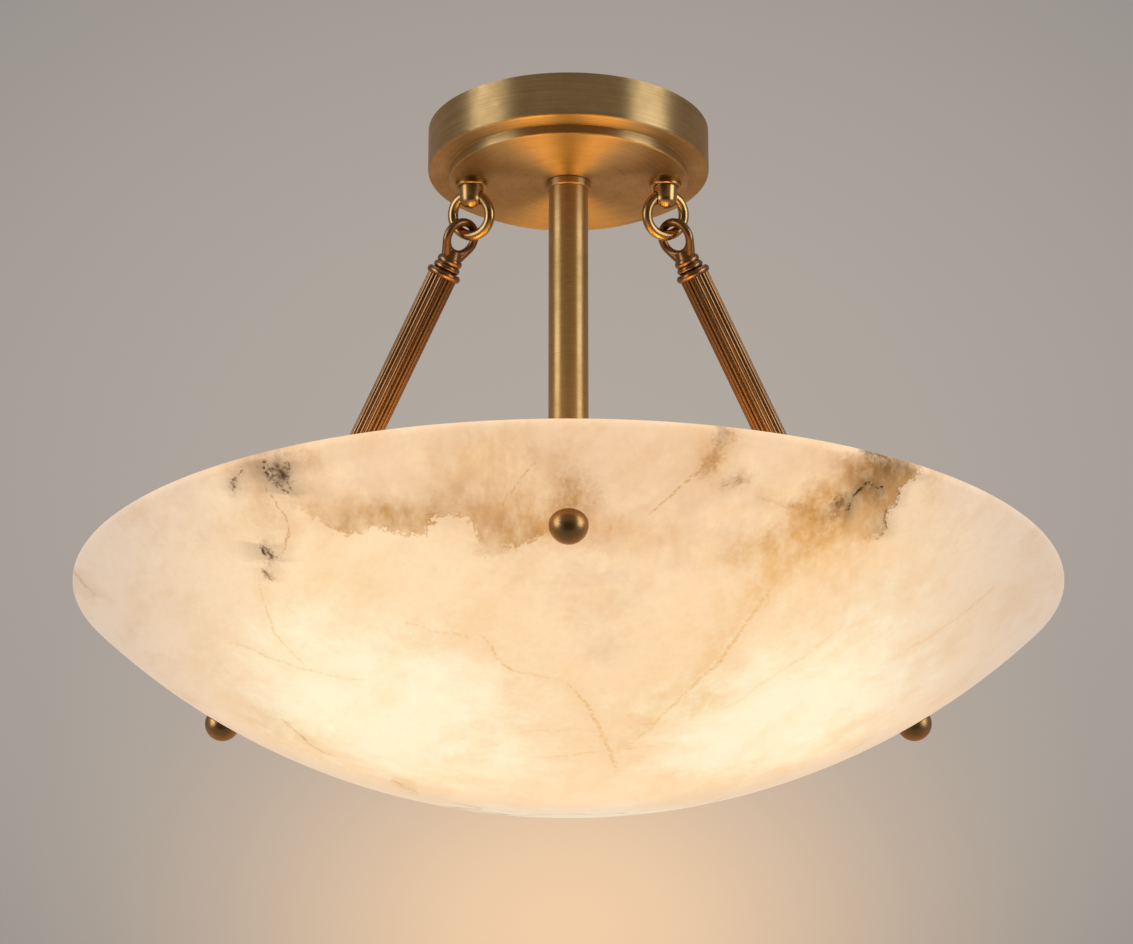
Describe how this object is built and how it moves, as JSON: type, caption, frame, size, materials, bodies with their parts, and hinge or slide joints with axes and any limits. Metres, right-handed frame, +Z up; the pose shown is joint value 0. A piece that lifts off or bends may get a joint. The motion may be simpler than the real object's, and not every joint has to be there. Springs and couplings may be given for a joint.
{
  "type": "semi-flush ceiling light",
  "caption": "Ceiling light with a shallow glowing alabaster bowl on a brass stem, a stepped round canopy, reeded hanger rods on rings and half-ball nuts outside the bowl.",
  "frame": {"origin": "middle of the ceiling face, at the top of the mounting bar and between its two slots", "axes": "+Z up into the ceiling, -Y towards the front dome nut, +X to the right as seen from the front"},
  "size_m": [0.457, 0.457, 0.33],
  "materials": {
    "aged_brass": "satin",
    "plain_brass": "satin",
    "dark_bronze": "satin",
    "zinc_steel": "satin",
    "alabaster": "satin",
    "soft_washer": "matte",
    "porcelain": "satin",
    "lamp_cap": "satin",
    "frosted_glass": "satin"
  },
  "bodies": {
    "fixture": {"mounting_bar": "zinc_steel", "ground_screw": "zinc_steel", "nipple": "zinc_steel", "nipple_nuts": "zinc_steel", "eyelet_nuts": "zinc_steel", "canopy": "aged_brass", "stem": "aged_brass", "stem_top_bush": "plain_brass", "stem_bottom_bush": "plain_brass", "cluster_body": "aged_brass", "cluster_cover": "aged_brass", "holder_nipples": "plain_brass", "holder_contacts": "plain_brass", "carrier_plate": "zinc_steel", "carrier_bolt": "zinc_steel", "arm_screws": "zinc_steel", "bowl": "alabaster", "bowl_inner_washers": "soft_washer", "bowl_outer_washers": "soft_washer", "front_stud": "plain_brass", "front_stud_nut": "plain_brass", "carrier_arm_front": "zinc_steel", "carrier_arm_left": "zinc_steel", "carrier_arm_right": "zinc_steel", "eyelet_left": "aged_brass", "eye_bolt_left": "plain_brass", "eyelet_right": "aged_brass", "eye_bolt_right": "plain_brass", "lampholder_front_left": "porcelain", "lampholder_front_right": "porcelain", "lampholder_back": "porcelain"},
    "collar": {"canopy_collar": "aged_brass"},
    "ring_left": {"ring_left": "aged_brass"},
    "rod_left": {"rod_left_shaft": "dark_bronze", "rod_left_upper_eye": "dark_bronze", "rod_left_upper_ferrule": "dark_bronze", "rod_left_lower_eye": "dark_bronze", "rod_left_lower_ferrule": "dark_bronze"},
    "ring_right": {"ring_right": "aged_brass"},
    "rod_right": {"rod_right_shaft": "dark_bronze", "rod_right_upper_eye": "dark_bronze", "rod_right_upper_ferrule": "dark_bronze", "rod_right_lower_eye": "dark_bronze", "rod_right_lower_ferrule": "dark_bronze"},
    "dome_front": {"dome_nut_front": "dark_bronze"},
    "dome_left": {"dome_nut_left": "dark_bronze"},
    "dome_right": {"dome_nut_right": "dark_bronze"},
    "lamp_front_left": {"lamp_front_left_base": "lamp_cap", "lamp_front_left_globe": "frosted_glass"},
    "lamp_front_right": {"lamp_front_right_base": "lamp_cap", "lamp_front_right_globe": "frosted_glass"},
    "lamp_back": {"lamp_back_base": "lamp_cap", "lamp_back_globe": "frosted_glass"}
  },
  "joints": [
    {"name": "collar_turn", "type": "hinge", "parent": "fixture", "child": "collar", "pos_m": [0, 0, -0.0267], "axis": [0, 0, 1], "continuous": true},
    {"name": "ring_left_turn", "type": "hinge", "parent": "fixture", "child": "ring_left", "pos_m": [-0.0467, 0.00374, -0.04146], "axis": [-0.4226, -0.8377, -0.3459], "continuous": true},
    {"name": "rod_left_roll", "type": "hinge", "parent": "fixture", "child": "rod_left", "pos_m": [-0.04828, 0.00594, -0.04486], "axis": [0.4352, -0.3408, 0.8333], "range_deg": [0, 45]},
    {"name": "ring_right_turn", "type": "hinge", "parent": "fixture", "child": "ring_right", "pos_m": [0.0467, 0.00374, -0.04146], "axis": [-0.4226, 0.8377, 0.3459], "continuous": true},
    {"name": "rod_right_roll", "type": "hinge", "parent": "fixture", "child": "rod_right", "pos_m": [0.04828, 0.00594, -0.04486], "axis": [0.4352, 0.3408, -0.8333], "range_deg": [0, 45]},
    {"name": "dome_front_turn", "type": "hinge", "parent": "fixture", "child": "dome_front", "pos_m": [0, -0.19304, -0.26865], "axis": [0, -0.585, -0.8111], "continuous": true},
    {"name": "dome_left_turn", "type": "hinge", "parent": "fixture", "child": "dome_left", "pos_m": [-0.16717, 0.09652, -0.26865], "axis": [-0.5066, 0.2925, -0.8111], "continuous": true},
    {"name": "dome_right_turn", "type": "hinge", "parent": "fixture", "child": "dome_right", "pos_m": [0.16717, 0.09652, -0.26865], "axis": [0.5066, 0.2925, -0.8111], "continuous": true},
    {"name": "lamp_front_left_turn", "type": "hinge", "parent": "fixture", "child": "lamp_front_left", "pos_m": [-0.05543, -0.032, -0.26], "axis": [-0.866, -0.5, 0], "continuous": true},
    {"name": "lamp_front_right_turn", "type": "hinge", "parent": "fixture", "child": "lamp_front_right", "pos_m": [0.05543, -0.032, -0.26], "axis": [0.866, -0.5, 0], "continuous": true},
    {"name": "lamp_back_turn", "type": "hinge", "parent": "fixture", "child": "lamp_back", "pos_m": [0, 0.064, -0.26], "axis": [0, 1, 0], "continuous": true}
  ]
}
